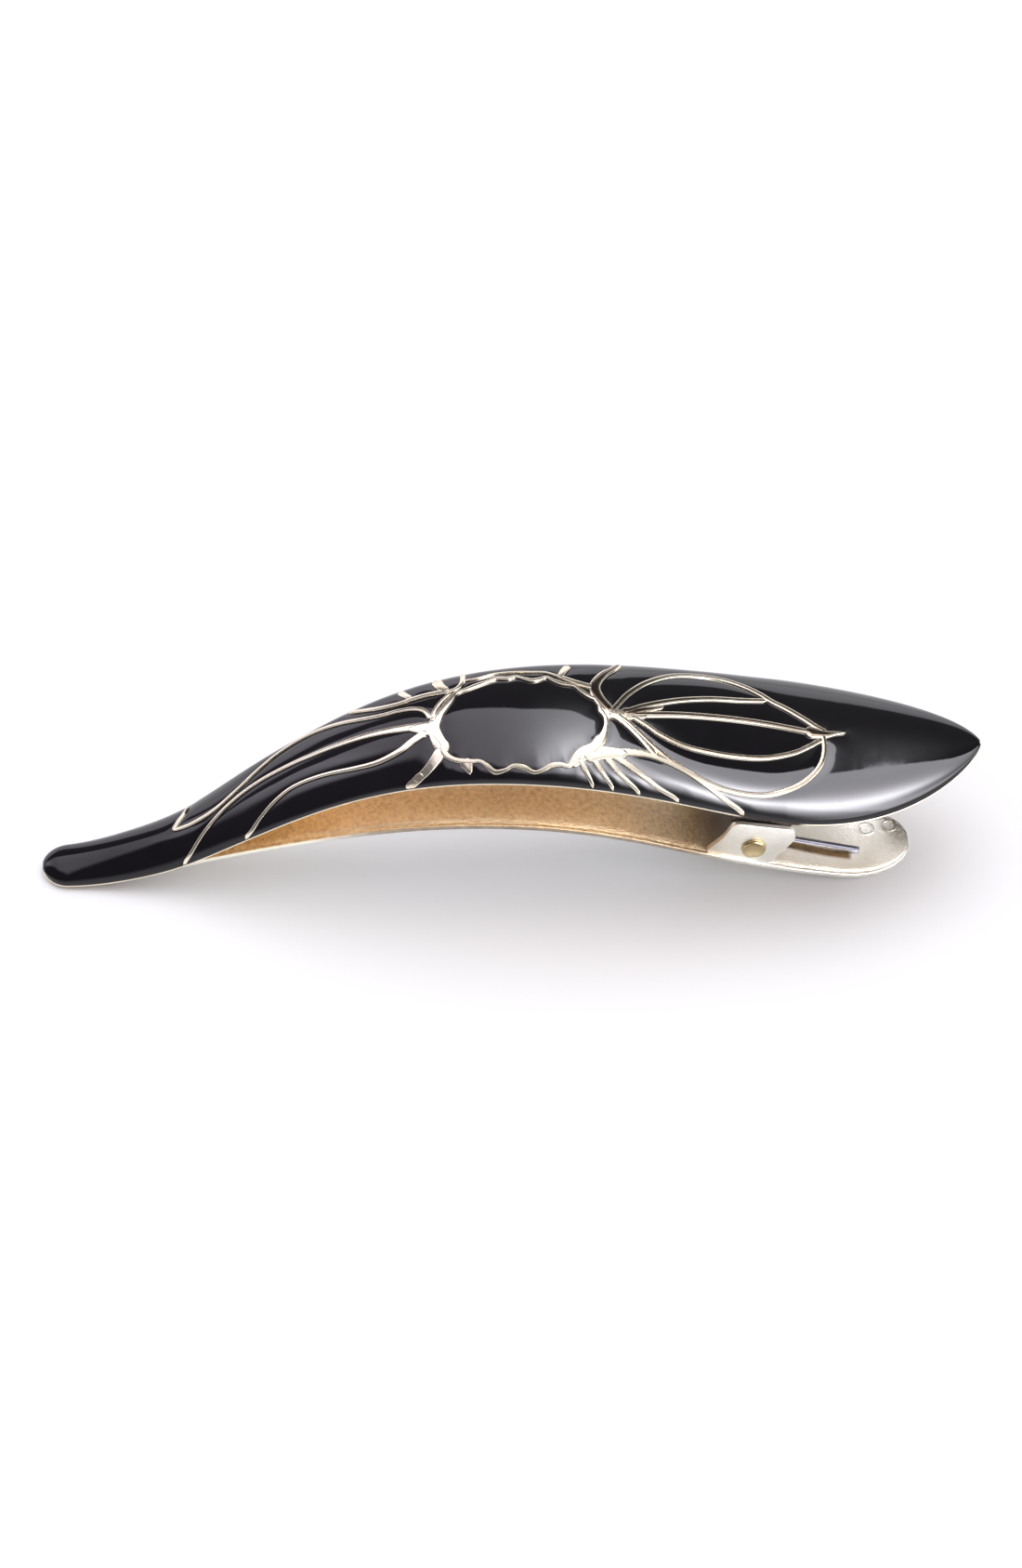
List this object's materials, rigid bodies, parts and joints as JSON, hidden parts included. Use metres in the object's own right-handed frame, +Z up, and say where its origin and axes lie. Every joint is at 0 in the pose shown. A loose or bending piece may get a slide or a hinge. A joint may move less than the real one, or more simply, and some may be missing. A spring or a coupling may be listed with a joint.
{
  "type": "beak barrette",
  "caption": "Domed beak-shaped hair barrette with raised gilt line relief and black enamel, hinged by a rivet and torsion spring on a narrow curved lower leaf.",
  "frame": {"origin": "middle of the closed barrette's overall box, on the table it stands on", "axes": "+X from the beak tip to the thumb tail, +Y across the width to the far side, +Z up"},
  "size_m": [0.1334, 0.0264, 0.0327],
  "materials": {
    "gilt": "polished gilt plating",
    "satin_gilt": "fine-grained satin gilt plating",
    "enamel": "glossy black enamel",
    "dark_plate": "dark plated, satin",
    "steel": "bright drawn spring wire"
  },
  "bodies": {
    "leaf": {"lower_leaf": "satin_gilt", "pivot_pin": "gilt", "return_spring": "steel"},
    "shell": {"upper_shell": "gilt", "hinge_bracket": "dark_plate", "enamel_leaf_far_edge": "enamel", "enamel_beak": "enamel", "enamel_leaf_middle": "enamel", "enamel_leaf_near_edge": "enamel", "enamel_sprig_inner": "enamel", "enamel_sprig_outer": "enamel", "enamel_medallion_near_edge": "enamel", "enamel_medallion_far_edge": "enamel", "enamel_medallion": "enamel", "enamel_bud_petal_far": "enamel", "enamel_bud_heart_far": "enamel", "enamel_bud_heart_near": "enamel", "enamel_bud_petal_near": "enamel", "enamel_claw_triangle": "enamel", "enamel_tail": "enamel"}
  },
  "joints": [
    {"name": "beak_hinge", "type": "hinge", "parent": "leaf", "child": "shell", "pos_m": [0.03466, 0, 0.00865], "axis": [0, 1, 0], "range_deg": [0, 28], "stiffness_Nm_per_rad": 0.25, "springref_deg": -17.19, "deforming": ["return_spring"]}
  ]
}
